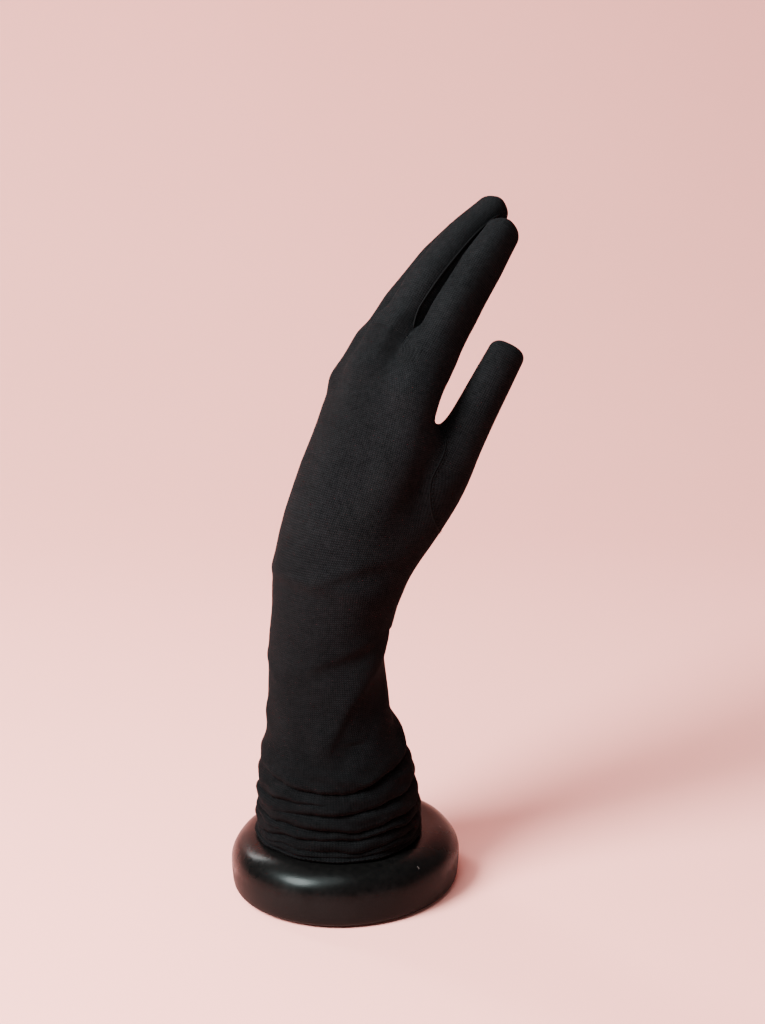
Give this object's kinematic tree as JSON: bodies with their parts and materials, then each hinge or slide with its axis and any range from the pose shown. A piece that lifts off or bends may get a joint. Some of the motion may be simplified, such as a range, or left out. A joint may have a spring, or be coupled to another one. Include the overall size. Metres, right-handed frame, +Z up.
{
  "type": "opera glove on display hand",
  "caption": "Long stretch-knit fashion glove on a bendable display hand with a round foot; the sleeve end is gathered just above the foot and each digit bends at its root.",
  "frame": {"origin": "centre of the foot's underside, on the floor plane", "axes": "+Z up along the sleeve towards the fingertips, +X towards the thumb's side, +Y towards the palm"},
  "size_m": [0.0988, 0.1311, 0.2904],
  "materials": {
    "glove_knit": "matte fine-rib stretch knit, black",
    "seam_thread": "matte polyester thread, black",
    "foot_black": "semi-gloss black paint, lightly worn",
    "form_plastic": "matte moulded plastic, skin beige",
    "hardware": "zinc-plated steel",
    "ballast_iron": "raw cast iron",
    "insert_brass": "turned brass",
    "pad_rubber": "matte foam rubber"
  },
  "bodies": {
    "hand": {"foot": "foot_black", "foot_pad": "pad_rubber", "ballast_plate": "ballast_iron", "fixing_bolt": "hardware", "washer": "hardware", "threaded_insert": "insert_brass", "arm_form": "form_plastic", "knuckle_tongues": "hardware", "trank": "glove_knit", "gathered_cuff": "glove_knit", "hem_band": "glove_knit", "ulnar_seam": "seam_thread", "thumb_gusset": "glove_knit", "thumb_seam": "seam_thread"},
    "index": {"index_form": "form_plastic", "index_fork": "hardware", "index_pin": "hardware", "index_stall": "glove_knit", "index_fourchette": "glove_knit"},
    "middle": {"middle_form": "form_plastic", "middle_fork": "hardware", "middle_pin": "hardware", "middle_stall": "glove_knit", "middle_fourchettes": "glove_knit"},
    "ring": {"ring_form": "form_plastic", "ring_fork": "hardware", "ring_pin": "hardware", "ring_stall": "glove_knit", "ring_fourchettes": "glove_knit"},
    "little": {"little_form": "form_plastic", "little_fork": "hardware", "little_pin": "hardware", "little_stall": "glove_knit", "little_fourchette": "glove_knit"},
    "thumb": {"thumb_form": "form_plastic", "thumb_fork": "hardware", "thumb_pin": "hardware", "thumb_stall": "glove_knit"}
  },
  "joints": [
    {"name": "index_bend", "type": "hinge", "parent": "hand", "child": "index", "pos_m": [0.02496, 0.02877, 0.2344], "axis": [-1, 0, 0], "range_deg": [-10, 45]},
    {"name": "middle_bend", "type": "hinge", "parent": "hand", "child": "middle", "pos_m": [0.008, 0.0251, 0.24165], "axis": [-1, 0, 0], "range_deg": [-10, 45]},
    {"name": "ring_bend", "type": "hinge", "parent": "hand", "child": "ring", "pos_m": [-0.00841, 0.02807, 0.23232], "axis": [-1, 0, 0], "range_deg": [-10, 45]},
    {"name": "little_bend", "type": "hinge", "parent": "hand", "child": "little", "pos_m": [-0.0233, 0.03024, 0.21957], "axis": [-1, 0, 0], "range_deg": [-10, 45]},
    {"name": "thumb_bend", "type": "hinge", "parent": "hand", "child": "thumb", "pos_m": [0.0327, 0.0334, 0.1934], "axis": [-1, 0, 0], "range_deg": [-8, 25]}
  ]
}
